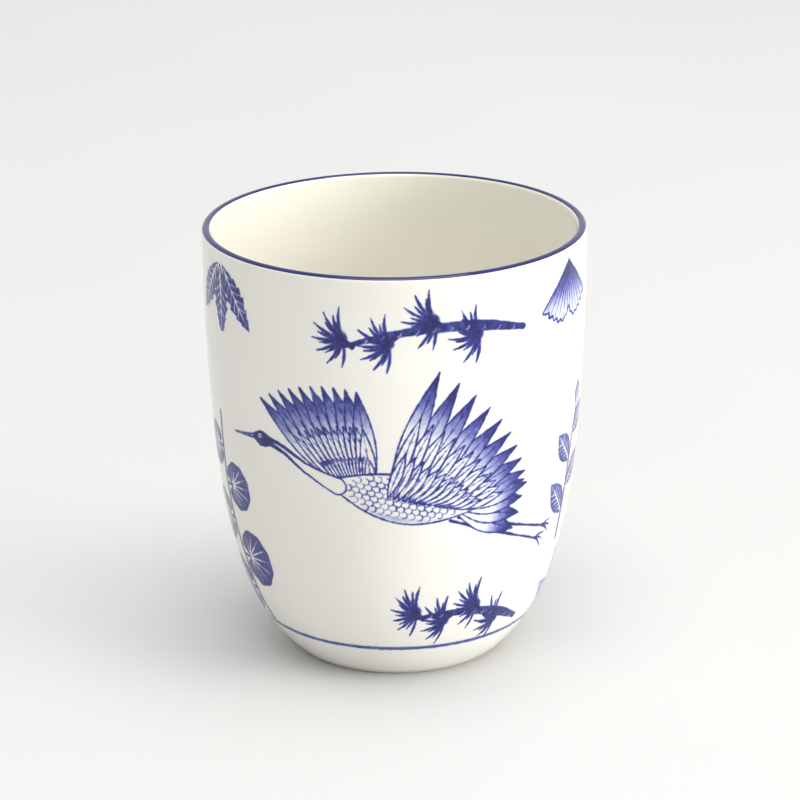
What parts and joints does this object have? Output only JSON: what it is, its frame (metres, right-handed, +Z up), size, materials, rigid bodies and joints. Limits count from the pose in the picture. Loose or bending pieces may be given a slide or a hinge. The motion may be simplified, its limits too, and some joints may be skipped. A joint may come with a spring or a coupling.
{
  "type": "teacup",
  "caption": "Tall handleless porcelain teacup with a rounded lip, a small foot ring, a cobalt rim band and a stock painted crane and plants.",
  "frame": {"origin": "centre of the foot, on the surface that the cup stands on", "axes": "+Z up along the cup's axis; -Y towards the painted crane; +X to the right of the crane"},
  "size_m": [0.083, 0.0831, 0.096],
  "materials": {
    "bisque": "matt fired clay",
    "white_glaze": "glossy",
    "cream_glaze": "glossy",
    "cobalt_band": "glossy",
    "cobalt_paint": "glossy"
  },
  "bodies": {
    "root": {"cup_body": "bisque", "outer_glaze": "white_glaze", "inner_glaze": "cream_glaze", "foot_well_glaze": "white_glaze", "rim_band": "cobalt_band", "ground_line": "cobalt_paint", "crane": "cobalt_paint", "upper_pine_branch": "cobalt_paint", "lower_pine_branch": "cobalt_paint", "hanging_leaves": "cobalt_paint", "ginkgo_leaf": "cobalt_paint", "round_leaf_plant": "cobalt_paint", "bud_twig": "cobalt_paint", "side_leaves": "cobalt_paint", "back_upper_pine_branch": "cobalt_paint", "back_lower_pine_branch": "cobalt_paint", "back_bud_twig": "cobalt_paint", "back_round_leaf_plant": "cobalt_paint", "back_hanging_leaves": "cobalt_paint"}
  },
  "joints": []
}
